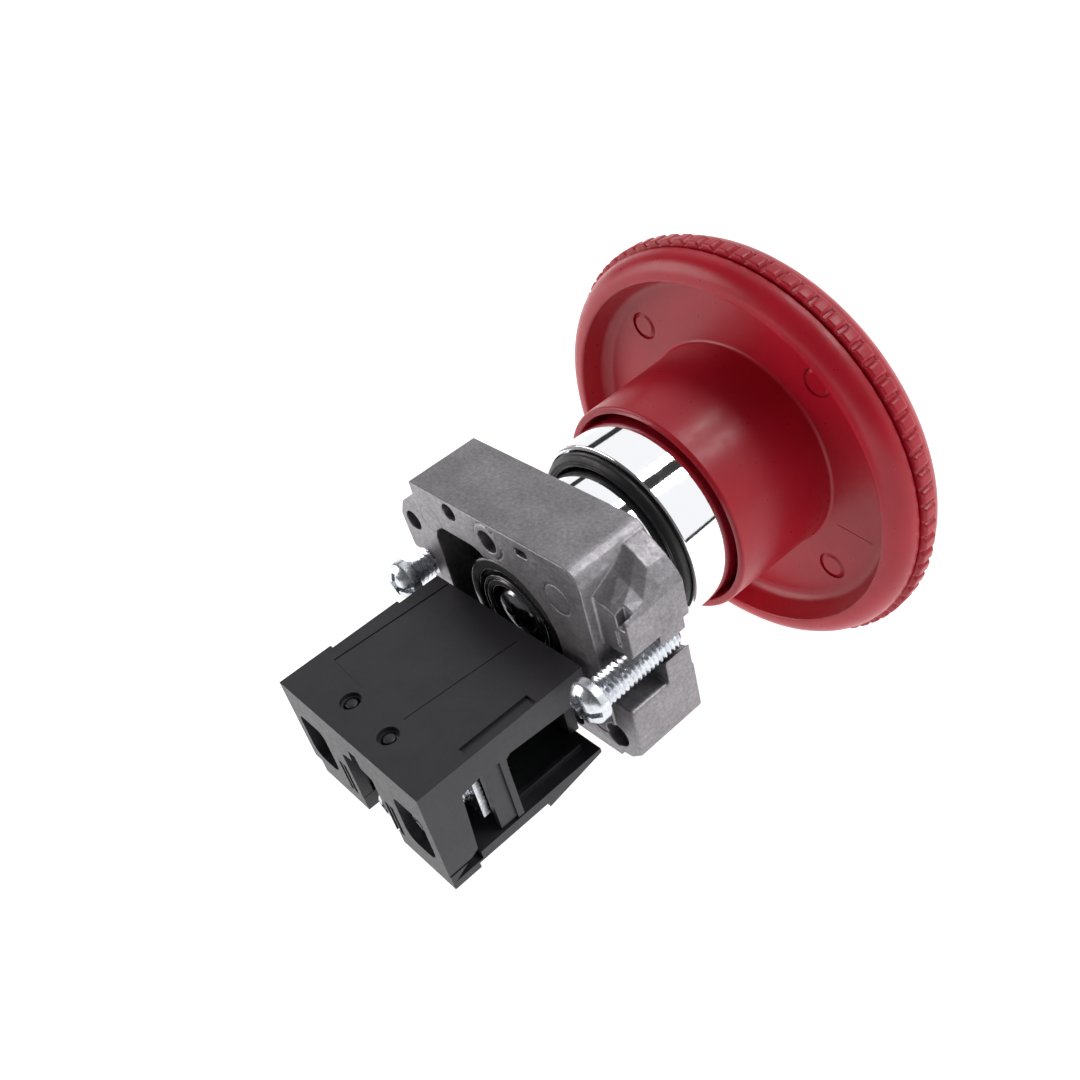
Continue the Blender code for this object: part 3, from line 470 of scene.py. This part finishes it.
def mushroom_dish():
    """The rear of the head: a dish inside a rounded lip, and the hub that covers the bezel."""
    profile = fillet([
        (15.8, SKIRT_REAR, 0.4), (16.15, DISH_FLOOR, 0.55), (25.75, DISH_FLOOR, 1.9), (27.0, LIP_REAR, 0.35),
        (30.4, LIP_REAR, 2.95), (30.4, -23.0, 0.2), (29.2, -23.0), (29.2, -25.2), (4.2, -25.2),
        (4.2, -19.5, 0.2), (7.0, -19.5, 0.3), (7.0, -22.6), (14.7, -22.6), (14.7, SKIRT_REAR, 0.3)], steps=6)
    dish = revolve("mushroom_dish_skin", profile, 160, mat=RED)
    marks = []
    ring = [(1.50, DISH_FLOOR - 0.03), (2.10, DISH_FLOOR - 0.30), (2.18, -23.5), (1.48, -23.5)]
    for i in range(4):
        angle = math.radians(45.0 + 90.0 * i)
        at = (MARK_PLACE_R * math.cos(angle), MARK_PLACE_R * math.sin(angle))
        marks.append(revolve(f"mark_{i}", ring, 48, at=at))
    flow_line = [(-16.6, -6.95), (-22.3, -7.82), (-22.3, -7.94), (-16.6, -7.07)]
    marks.append(prism("flow_line", flow_line, DISH_FLOOR - 0.08, -23.8))
    cut(dish, *marks)
    shade(dish, 32.0)
    finish_piece(dish, "mushroom_dish", "head")


# ---------------------------------------------------------------- screws

CLAMP_X = 18.3
BOSS = (0.6, 12.1)
FIXING = (-BOSS[0], -BOSS[1])
TERMINAL_Z = -7.8
TERMINALS = (("left", 11.2, 41.4), ("right", -9.6, 43.9))


def thread(root, crest, pitch, start, end):
    """A warp that runs a helical thread along a shank between two y values."""
    def warp(radius, y, angle):
        if abs(radius - crest) > 0.02 or not start < y < end:
            return radius
        phase = (y / pitch + angle / TURN) % 1.0
        return root + (crest - root) * (1.0 - abs(2.0 * phase - 1.0))
    return warp


def drive(name, at, head_r, rear, slot_width, cross, cross_width, depth):
    """Cutters for a screw's straight slot, the two wings of its cross, and the cross's tapered core."""
    x, z = at
    cutters = []
    if slot_width:
        cutters.append(slab(name + "_slot", (x - head_r - 1.0, rear - depth * 0.8, z - slot_width / 2.0),
                            (x + head_r + 1.0, rear + 1.0, z + slot_width / 2.0)))
    reach = head_r * cross
    for half_x, half_z in ((reach, cross_width), (cross_width, reach)):
        wing = rect(x - half_x, x + half_x, z - half_z, z + half_z)
        cutters.append(prism(name + "_wing", wing, rear - depth, rear + 1.0))
    core = [(0.0, rear + 0.5), (cross_width * 2.3, rear + 0.5), (cross_width * 2.0, rear - 0.2),
            (cross_width * 1.1, rear - depth), (0.0, rear - depth - 0.3)]
    cutters.append(revolve(name + "_core", core, 24, closed=False, at=at))
    return cutters


def screw(name, at, head_r, rear, front, shank_r, tip, pitch=0.7, slot_width=0.0,
          cross=0.55, cross_width=0.30, depth=1.1, dome=0.25, shoulder=0.35, mat=None):
    """A round-head screw along Y, its head between front and rear, with a cross and perhaps a slot."""
    head = fillet([(0.0, rear), (head_r - shoulder * 1.2, rear - dome * 0.5),
                   (head_r, rear - dome - shoulder, shoulder), (head_r, front, 0.12), (shank_r, front)],
                  closed=False, steps=8)
    head.insert(1, (head_r * 0.4, rear - dome * 0.08))
    count = int((front - 0.15 - tip) / (pitch / 8.0))
    shank = [(shank_r, front - 0.15 - (front - 0.55 - tip) * i / count) for i in range(count + 1)]
    profile = head + shank + [(shank_r * 0.75, tip), (0.0, tip)]
    warp = thread(shank_r * 0.80, shank_r, pitch, tip + 0.3, front - 0.3)
    body = revolve(name, profile, 64, closed=False, at=at, warp=warp, mat=mat or STEEL)
    cut(body, *drive(name, at, head_r, rear, slot_width, cross, cross_width, depth))
    shade(body, 38.0)
    return body


def screws():
    for tag, side in (("left", 1.0), ("right", -1.0)):
        jack = screw(f"clamp_screw_{tag}_skin", (side * CLAMP_X, 0.0), 2.85, 24.4, 21.8, 1.98, 8.9,
                     slot_width=0.80, cross=0.72, cross_width=0.40, depth=1.5, dome=0.55, shoulder=0.75)
        finish_piece(jack, f"clamp_screw_{tag}", f"clamp_screw_{tag}")
    fixing = screw("block_fixing_screw_skin", FIXING, 2.1, 44.2, 42.3, 1.25, 15.2, 0.5, shoulder=0.5)
    finish_piece(fixing, "block_fixing_screw", "fixing_screw")
    for tag, x, rear in TERMINALS:
        terminal = screw(f"terminal_screw_{tag}_skin", (x, TERMINAL_Z), 2.4, rear, rear - 2.2, 1.6,
                         rear - 7.3, shoulder=0.5)
        finish_piece(terminal, f"terminal_screw_{tag}", f"terminal_screw_{tag}")
    # The head screw takes the darkened steel, whose low colour is a painted dark reflection.
    centre = screw("head_screw_skin", (0.0, 0.0), 3.9, 18.4, 16.2, 1.5, -23.8, 0.5,
                   cross=0.52, cross_width=0.36, depth=1.5, dome=0.8, shoulder=0.6, mat=PAINTED_DARK_REFLECTION_STEEL)
    finish_piece(centre, "head_screw", "head")


# ---------------------------------------------------------------- operator

PUSHER_REAR = 18.3
BARREL_R = 11.0


def pusher():
    """The stem with its rear disc: a rim round the screw, a small ring, a groove and the outer rim."""
    rear = PUSHER_REAR
    profile = fillet([
        (4.4, rear, 0.25), (5.3, rear, 0.12), (5.5, rear - 0.35, 0.1), (5.7, rear, 0.12), (6.0, rear, 0.2),
        (6.2, rear - 0.7, 0.2), (6.7, rear - 0.7, 0.2), (6.95, rear, 0.2), (8.6, rear, 0.35), (8.6, 9.3, 0.4),
        (6.4, 9.3), (6.4, 3.3, 0.3), (5.6, 3.3), (5.6, -16.6, 0.3), (1.85, -16.6), (1.85, 15.9), (4.4, 15.9)],
        steps=5)
    stem = revolve("stem_skin", profile, 128, mat=BLACK)
    finish_piece(stem, "stem", "stem")


def bezel():
    """The wide ring in front of the panel and the barrel that goes through it."""
    profile = fillet([
        (8.95, 14.6, 0.2), (BARREL_R, 14.6, 0.4), (BARREL_R, -1.2), (13.15, -1.2), (13.3, 0.0, 0.06),
        (13.95, 0.0, 0.22), (13.95, -16.0, 0.6), (12.2, -16.0, 0.2), (12.2, -2.8), (6.8, -2.8), (6.8, 2.4),
        (8.95, 2.4)], steps=5)
    ring = revolve("bezel_body_skin", profile, 160, mat=CHROME)
    finish_piece(ring, "bezel_body", "operator")


def gasket():
    inner = BARREL_R + 0.3
    profile = fillet([
        (inner, 0.75, 0.1), (11.45, 1.15, 0.25), (11.85, 1.30, 0.25), (12.02, 1.22, 0.08), (12.3, 1.30, 0.3),
        (13.05, 0.75, 0.7), (13.1, -0.1, 0.2), (12.9, -0.3), (12.9, -0.9), (inner, -0.9)], steps=6)
    ring = revolve("panel_gasket_skin", profile, 160, mat=RUBBER)
    finish_piece(ring, "panel_gasket", "operator")


# ---------------------------------------------------------------- collar

COLLAR_FRONT, COLLAR_REAR = 7.5, 18.6
COLLAR_HALF_X, COLLAR_HALF_Z = 15.9, 15.0
LUG_FRONT = COLLAR_FRONT + 0.4
SIDES = ((1.0, "a"), (-1.0, "b"))


def short_lug():
    """Sections of the lug at -X and +Z: full height at the front, sloping down towards the rear."""
    high = [(-13.0, 14.4), (-15.6, 14.0), (-17.2, 13.2), (-18.8, 11.9), (-20.3, 10.2), (-20.9, 8.9)]
    middle = [(-13.0, 13.8), (-15.2, 12.9), (-16.8, 11.9), (-18.5, 11.0), (-20.3, 9.7), (-20.9, 8.7)]
    low = [(-13.0, 12.9), (-15.0, 11.4), (-16.5, 10.4), (-18.3, 9.9), (-20.2, 9.3), (-20.9, 8.6)]
    foot = [(-20.9, 3.9), (-20.4, 3.3), (-13.0, 3.3)]
    return [(LUG_FRONT, high + foot), (11.0, high + foot), (13.6, middle + foot),
            (COLLAR_REAR - 1.5, low + foot)]


def collar_solid():
    """The block with its four lugs, the webs behind the clamp screws and the two bosses."""
    x, z = COLLAR_HALF_X, COLLAR_HALF_Z
    body = fillet([(-x, -z), (x, -z, 2.5), (x, z), (-x, z, 2.5)], steps=8)
    long_lug = [(13.0, 1.8), (20.9, 1.8, 0.6), (21.35, 7.4, 1.0), (19.9, 10.1, 1.2), (13.0, 13.6)]
    low_lug = [(-13.0, -4.9), (-20.0, -4.9, 0.6), (-20.0, -12.4, 1.4), (-17.6, -14.4, 1.0), (-13.0, -14.7)]
    shape = prism("collar_skin", body, COLLAR_FRONT, COLLAR_REAR, ZINC)
    join(shape,
         prism("lug_a", fillet(long_lug), LUG_FRONT, COLLAR_REAR - 0.2),
         loft("lug_b", [(y, flipped(outline)) for y, outline in short_lug()]),
         loft("lug_c", short_lug()),
         prism("lug_d", fillet(low_lug), LUG_FRONT, COLLAR_REAR - 0.2),
         prism("webs", rect(-20.2, 20.2, -5.6, 5.6, 1.0), COLLAR_FRONT + 0.8, 12.3),
         rod("boss_a", 2.45, COLLAR_FRONT + 1.0, COLLAR_REAR + 0.15, BOSS),
         rod("boss_b", 2.45, COLLAR_FRONT + 1.0, COLLAR_REAR + 0.15, FIXING))
    return shape


def ring_groove(name, inner, outer, depth, at):
    """A cutter for a thin ring in the collar's rear face."""
    top, floor_y = COLLAR_REAR + 0.3, COLLAR_REAR - depth
    return revolve(name, [(inner, top), (outer, top), (outer, floor_y), (inner, floor_y)], 48, at=at)


def rear_slot(name, x, half, z0, z1, radius, floor_y):
    """A cutter for an upright slot in the collar's rear face, down to floor_y."""
    return prism(name, rect(x - half, x + half, z0, z1, radius), floor_y, COLLAR_REAR + 1.0)


def collar():
    front, rear = COLLAR_FRONT - 1.0, COLLAR_REAR + 1.0
    pocket = fillet([(2.0, -7.0, 3.0), (13.2, -7.0, 3.0), (13.2, 9.4, 3.0), (2.0, 9.4, 3.0)], steps=8)
    shape = collar_solid()
    cutters = [rod("bore", BARREL_R + 0.35, front, 15.0, steps=96), rod("hole", 8.95, front, rear, steps=96),
               prism("finger_pocket", pocket, 11.0, rear),
               rod("long_lug_hole", 1.5, 13.0, rear, (18.6, 7.2)),
               rod("low_lug_hole", 1.8, 12.8, rear, (-15.8, -11.4))]
    for sign, tag in SIDES:
        boss = (sign * BOSS[0], sign * BOSS[1])
        cutters.append(rod("clamp_hole_" + tag, 2.3, front, rear, (sign * CLAMP_X, 0.0)))
        cutters.append(rod("boss_hole_" + tag, 1.6, 14.7, rear, boss))
        cutters.append(ring_groove("boss_ring_" + tag, 2.45, 2.7, 0.2, boss))
        cutters.append(rod("dowel_" + tag, 1.25, 14.5, rear, (sign * 8.0, sign * 13.3)))
        vent_z = sign * 13.3
        cutters.append(rear_slot("vent_" + tag, sign * -5.9, 1.1, vent_z - 0.55, vent_z + 0.55, 0.45, 13.0))
        for x, z in ((13.1, 9.9), (-11.0, 8.8)):
            cutters.append(ring_groove(f"pin_ring_{x}_{tag}", 2.0, 2.3, 0.14, (sign * x, sign * z)))
        cutters.append(rear_slot("notch_" + tag, sign * -19.8, 0.6, sign * 7.6, sign * 11.0, 0.2, 15.7))
        cutters.append(rear_slot("groove_" + tag, sign * -18.9, 0.3, sign * 4.6, sign * 7.0, 0.25, 16.7))
    cut(shape, *cutters)
    soften(shape, 0.13, 3, 0.35)
    finish_piece(shape, "collar", "operator")


# ---------------------------------------------------------------- contact block

LEFT, RIGHT = 15.6, -14.0
MIDDLE = 0.8
TOP, BOTTOM = 0.55, -15.1
FRONT, REAR = 19.8, 44.75
SEAM = -13.3
BELOW = SEAM - 1.0
ROOF = TOP - 2.15
INNER_FRONT, INNER_REAR = FRONT + 1.5, REAR - 1.55
PINS = ((5.05, 40.75), (-3.5, 41.1))
PIN_STEPS = 40
REAR_CHAMFER = ((40.0, -12.6), (44.2, -14.8), (40.0, -14.8))


def main_rooms():
    """Cutters for the hollow middle of the block, its stepped left side and the holes in its front wall."""
    return [
        slab("room_front", (MIDDLE - 11.0, INNER_FRONT, BELOW), (MIDDLE + 11.0, 30.0, ROOF)),
        slab("room_mid", (MIDDLE - 4.6, 29.0, BELOW), (MIDDLE + 4.6, INNER_REAR, ROOF)),
        slab("step_front", (LEFT - 1.1, FRONT - 1.0, BELOW), (LEFT + 1.0, 26.3, TOP + 1.0)),
        slab("step_mid", (LEFT - 0.55, 26.0, BELOW), (LEFT + 1.0, 36.8, TOP + 1.0)),
        slab("plunger_hole", (MIDDLE - 2.9, FRONT - 1.0, -8.3), (MIDDLE + 2.9, INNER_FRONT + 1.0, -4.1)),
        rod("fix_hole", 1.6, FRONT - 1.0, INNER_FRONT + 1.0, FIXING),
    ]


def side_rooms(side, tag):
    """Cutters for one side: contact room, terminal bay, side windows, rear window and the two slits."""
    near, far = MIDDLE + side * 5.6, MIDDLE + side * 13.5
    room, window, out = MIDDLE + side * 11.0, MIDDLE + side * 10.4, MIDDLE + side * 15.8
    opening = [(FRONT - 1.0, BELOW), (33.0, BELOW), (33.0, -3.7), (32.2, -3.2), (FRONT - 1.0, -4.2)]
    entry = [(36.3, BELOW), (40.3, BELOW), (39.6, -3.6), (36.3, -3.0)]
    hole = fillet([(window - 2.9, -11.9, 1.8), (window + 2.9, -11.9, 1.8), (window + 2.9, -4.2, 1.2),
                   (window - 2.9, -4.2, 1.2)])
    cutters = [
        slab("room_" + tag, (near, 29.0, BELOW), (room, 34.5, ROOF)),
        slab("bay_" + tag, (near, 33.5, BELOW), (far, INNER_REAR, ROOF)),
        prism("side_" + tag, opening, window, out, axis="x"),
        prism("cable_" + tag, entry, room, out, axis="x"),
        prism("wedge_" + tag, REAR_CHAMFER, MIDDLE + side * 13.6, out, axis="x"),
        prism("window_" + tag, hole, INNER_REAR - 1.0, REAR + 1.0),
    ]
    for x in (MIDDLE + side * 4.6, near):
        cutters.append(slab("slit", (x - 0.38, INNER_REAR + 0.3, -14.0), (x + 0.38, REAR + 1.0, -7.8)))
    return cutters


def top_details():
    """Cutters for the pin holes and the fine lines in the top, and the shallow panel at the right."""
    details = []
    for place in PINS:
        for radius, depth in ((1.12, 14.55), (1.42, 0.55)):
            outline = circle(radius, place, PIN_STEPS)
            details.append(prism("stake_hole", outline, TOP - depth, TOP + 1.0, axis="z"))
    lines = (
        ("score", 0.12, [(-3.00, 38.4), (-2.86, 38.4), (-4.16, 21.6), (-4.30, 21.6)]),
        ("cross_score", 0.05, [(12.6, 38.0), (12.6, 38.1), (6.0, 38.6), (6.0, 38.5)]),
        ("edge_slot", 0.4, [(-13.72, 26.8), (-12.0, 26.8), (-11.9, 37.1), (-13.72, 37.1)]),
        ("edge_groove", 0.2, [(13.0, 38.0), (12.75, 38.0), (11.6, FRONT - 1.0), (11.85, FRONT - 1.0)]),
    )
    for name, depth, outline in lines:
        details.append(prism(name, outline, TOP - depth, TOP + 1.0, axis="z"))
    details.append(slab("panel_line", (RIGHT - 1.0, 33.9, -13.6), (RIGHT + 0.35, 36.3, -3.3)))
    return details


def housing():
    shell = slab("block_housing_skin", (RIGHT, FRONT, SEAM), (LEFT, REAR, TOP), CHARCOAL)
    cutters = main_rooms()
    for side, tag in SIDES:
        cutters.extend(side_rooms(side, tag))
    middle = fillet([
        (1.4, -2.2), (-0.1, -2.2), (-0.3, -4.2), (-2.5, -4.6, 0.4), (-2.6, -9.4), (-3.2, -10.4),
        (-3.2, -16.0), (4.1, -16.0), (4.1, -5.0, 0.3), (3.7, -4.5), (1.6, -4.2)])
    cutters.append(prism("middle", middle, INNER_REAR - 1.0, REAR + 1.0))
    cut(shell, *cutters)
    cut(shell, *top_details())
    bevel(shell, 0.18)
    finish_piece(shell, "block_housing", "operator")


def base():
    """The base plate with its two lips, its two staked pins and the ribs inside the housing."""
    right, left, front, rear = RIGHT, LEFT - 1.1, FRONT + 0.4, REAR - 0.1
    plate = slab("block_base_skin", (right, front, BOTTOM), (left, rear, -13.6), CHARCOAL)
    parts = [slab("lip_front", (right, front, BOTTOM - 0.8), (left, 29.4, BOTTOM + 0.5)),
             slab("lip_rear", (right, 40.6, BOTTOM - 0.8), (left, rear, BOTTOM + 0.5))]
    for i, place in enumerate(PINS):
        parts.append(stake(f"stake_{i}", place))
    join(plate, *parts)
    taper = [(FRONT, -17.0), (FRONT, -14.25), (29.5, -15.9), (29.5, -17.0)]
    cut(plate, slab("notch", (-3.4, 41.95, BOTTOM - 2.0), (4.3, REAR + 1.0, -13.4)),
        prism("taper", taper, RIGHT - 1.0, LEFT + 1.0, axis="x"),
        prism("wedge_low_a", REAR_CHAMFER, MIDDLE + 13.6, LEFT + 1.0, axis="x"),
        prism("wedge_low_b", REAR_CHAMFER, RIGHT - 1.0, MIDDLE - 13.6, axis="x"))
    ribs = []
    for side, tag in SIDES:
        x = side * 12.6 + MIDDLE
        ribs.append(slab("rib_" + tag, (x - 0.35, FRONT + 1.9, -13.7), (x + 0.35, 32.6, -12.7)))
    join(plate, *ribs)
    bevel(plate, 0.16)
    finish_piece(plate, "block_base", "operator")


def stake(name, place):
    """A pin with a pressed head, turned about an upright line through place = (x, y)."""
    profile = [(0.0, -14.1), (0.8, -14.1), (0.8, TOP - 0.42), (0.55, TOP - 0.3), (0.0, TOP - 0.27)]
    bm = bmesh.new()
    levels = [[bm.verts.new((x, y, z)) for x, y in circle(r, place, PIN_STEPS)] for r, z in profile]
    for low, high in zip(levels, levels[1:]):
        for i in range(PIN_STEPS):
            k = (i + 1) % PIN_STEPS
            bm.faces.new([low[i], high[i], high[k], low[k]])
    return build(name, bm)


# ---------------------------------------------------------------- CAD pieces that stay

def repaint():
    looks = {
        "hub_insert": BRASS, "shaft_seal": RUBBER, "latch_ring": WIRE, "return_spring": WIRE,
        "contact_plunger": GREEN, "plunger_spring": WIRE, "contact_bridge": BRASS,
        "contact_spring": WIRE, "bridge_tip_left": SILVER, "bridge_tip_right": SILVER,
        "fixed_tip_left": SILVER, "fixed_tip_right": SILVER, "fixed_contact_left": STEEL,
        "fixed_contact_right": STEEL, "terminal_clamp_left": STEEL, "terminal_clamp_right": STEEL,
    }
    for name, mat in looks.items():
        for place in frame["nodes"][name].material_slots:
            place.material = mat


# ---------------------------------------------------------------- studio

FLAGS = ((30.0, 90.0), (112.0, 110.0), (182.0, 34.0))
FLAG_FAR, FLAG_MIDDLE, FLAG_LENGTH = 500.0, -230.0, 340.0
FLOOR_REACH = 2500.0
FLOOR_GAP = 0.05


def camera():
    """The photographer's place, behind and above the button, as a plain rotation and lens."""
    right = Vector((-0.649211, -0.729896, -0.213954))
    up = Vector((0.355917, -0.540120, 0.762623))
    back = right.cross(up)
    data = bpy.data.cameras.new("camera")
    data.sensor_width = 36.0
    data.lens = 39.305
    data.clip_start = 0.005
    data.clip_end = 20.0
    obj = bpy.data.objects.new("camera", data)
    bpy.context.scene.collection.objects.link(obj)
    turn = Matrix((right, up, back)).transposed()
    obj.matrix_world = Matrix.Translation(Vector((-98.354, 73.123, 97.161)) * MM) @ turn.to_4x4()
    bpy.context.scene.camera = obj


def sun(name, place, strength, spread, colour=(1.0, 1.0, 1.0)):
    """A large, far and soft lamp that shines from place towards the button."""
    data = bpy.data.lights.new(name, "SUN")
    data.energy = strength
    data.color = colour
    data.angle = math.radians(spread)
    obj = bpy.data.objects.new(name, data)
    bpy.context.scene.collection.objects.link(obj)
    obj.location = place
    obj.rotation_euler = (-Vector(place)).to_track_quat("-Z", "Y").to_euler()


def world():
    """A studio that is bright in front of the button, dim behind it, and plain white to the camera."""
    room = bpy.data.worlds.new("studio")
    room.use_nodes = True
    tree = room.node_tree
    coords = tree.nodes.new("ShaderNodeTexCoord")
    parts = tree.nodes.new("ShaderNodeSeparateXYZ")
    tree.links.new(coords.outputs["Generated"], parts.inputs["Vector"])
    fade = tree.nodes.new("ShaderNodeMapRange")
    for key, value in (("From Min", -0.35), ("From Max", 0.05), ("To Min", 1.0), ("To Max", 0.12)):
        fade.inputs[key].default_value = value
    tree.links.new(parts.outputs["Y"], fade.inputs["Value"])
    seen = tree.nodes.new("ShaderNodeLightPath")
    brighter = tree.nodes.new("ShaderNodeMath")
    brighter.operation = "MAXIMUM"
    tree.links.new(fade.outputs["Result"], brighter.inputs[0])
    tree.links.new(seen.outputs["Is Camera Ray"], brighter.inputs[1])
    sky = tree.nodes["Background"]
    tree.links.new(brighter.outputs["Value"], sky.inputs["Strength"])
    sky.inputs["Color"].default_value = (0.98, 0.99, 1.0, 1.0)
    bpy.context.scene.world = room
    bpy.context.scene.view_settings.view_transform = "Standard"
    bpy.context.scene.view_settings.look = "None"


def card(name, middle, side, length, mat):
    """A flat rectangle round its middle, with half sides along two directions."""
    bm = bmesh.new()
    corners = [middle + side * i + length * j for i, j in ((-1, -1), (1, -1), (1, 1), (-1, 1))]
    bm.faces.new([bm.verts.new(corner) for corner in corners])
    obj = build(name, bm, mat)
    return obj


def flags():
    """Dark cards far to the side, parallel to the button axis; each puts a streak in the chrome."""
    dark = Nodes("dark_card", (0.01, 0.01, 0.01), 0.9).mat
    for i, (degrees, width) in enumerate(FLAGS):
        angle = math.radians(degrees)
        middle = Vector((FLAG_FAR * math.cos(angle), FLAG_MIDDLE, FLAG_FAR * math.sin(angle)))
        side = Vector((-math.sin(angle), 0.0, math.cos(angle))) * width / 2.0
        obj = card(f"flag_{i}", middle, side, Vector((0.0, FLAG_LENGTH / 2.0, 0.0)), dark)
        obj.visible_camera = False


def floor():
    """A pale floor just below the head, bright enough to show no shadow."""
    glow = {"Emission_Color": (1.0, 1.0, 1.0, 1.0), "Emission_Strength": 0.92}
    pale = Nodes("pale_floor", (0.45, 0.45, 0.45), 0.9, **glow).mat
    middle = Vector((0.0, 0.0, CAD_BOX[0][2] / MM - FLOOR_GAP))
    card("floor", middle, Vector((FLOOR_REACH, 0.0, 0.0)), Vector((0.0, FLOOR_REACH, 0.0)), pale)


def studio():
    world()
    sun("key", (-0.36, -0.50, 0.88), 2.0, 28.0)
    sun("fill", (0.74, 0.60, 0.32), 1.45, 40.0, (1.0, 0.95, 0.94))
    flags()
    floor()


camera()
mushroom_cap()
mushroom_dish()
screws()
pusher()
bezel()
gasket()
collar()
housing()
base()
repaint()
studio()
